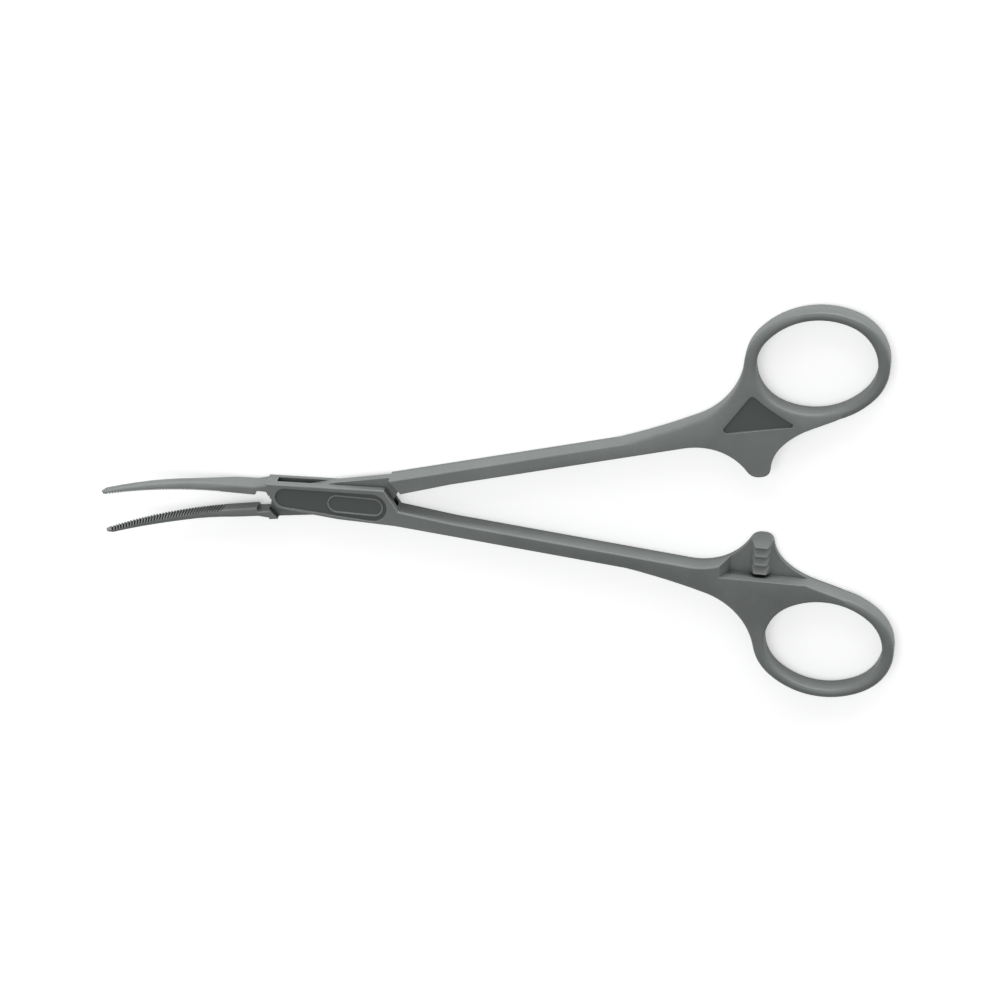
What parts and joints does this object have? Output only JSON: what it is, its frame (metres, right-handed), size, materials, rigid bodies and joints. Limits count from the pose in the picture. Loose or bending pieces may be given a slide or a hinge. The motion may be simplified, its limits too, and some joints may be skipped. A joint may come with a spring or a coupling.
{
  "type": "hemostat forceps",
  "caption": "Curved locking forceps with a box lock, ratchet arms, serrated jaws and two finger rings.",
  "frame": {"origin": "where the pivot's axis meets the back face of the lock, on the surface that it lies on", "axes": "+X from the jaws towards the finger rings along the line half way between the jaws, +Z out of the marked face, along the pivot's axis"},
  "size_m": [0.1821, 0.098, 0.0117],
  "materials": {
    "moulded_polymer": "matte mid grey moulded polymer",
    "pin_polymer": "matte mid grey moulded polymer"
  },
  "bodies": {
    "box_side": {"female_half": "moulded_polymer", "pivot_pin": "pin_polymer"},
    "tongue_side": {"male_half": "moulded_polymer"}
  },
  "joints": [
    {"name": "pivot", "type": "hinge", "parent": "box_side", "child": "tongue_side", "pos_m": [0, 0, 0.0023], "axis": [0, 0, 1], "range_deg": [-10, 60]}
  ]
}
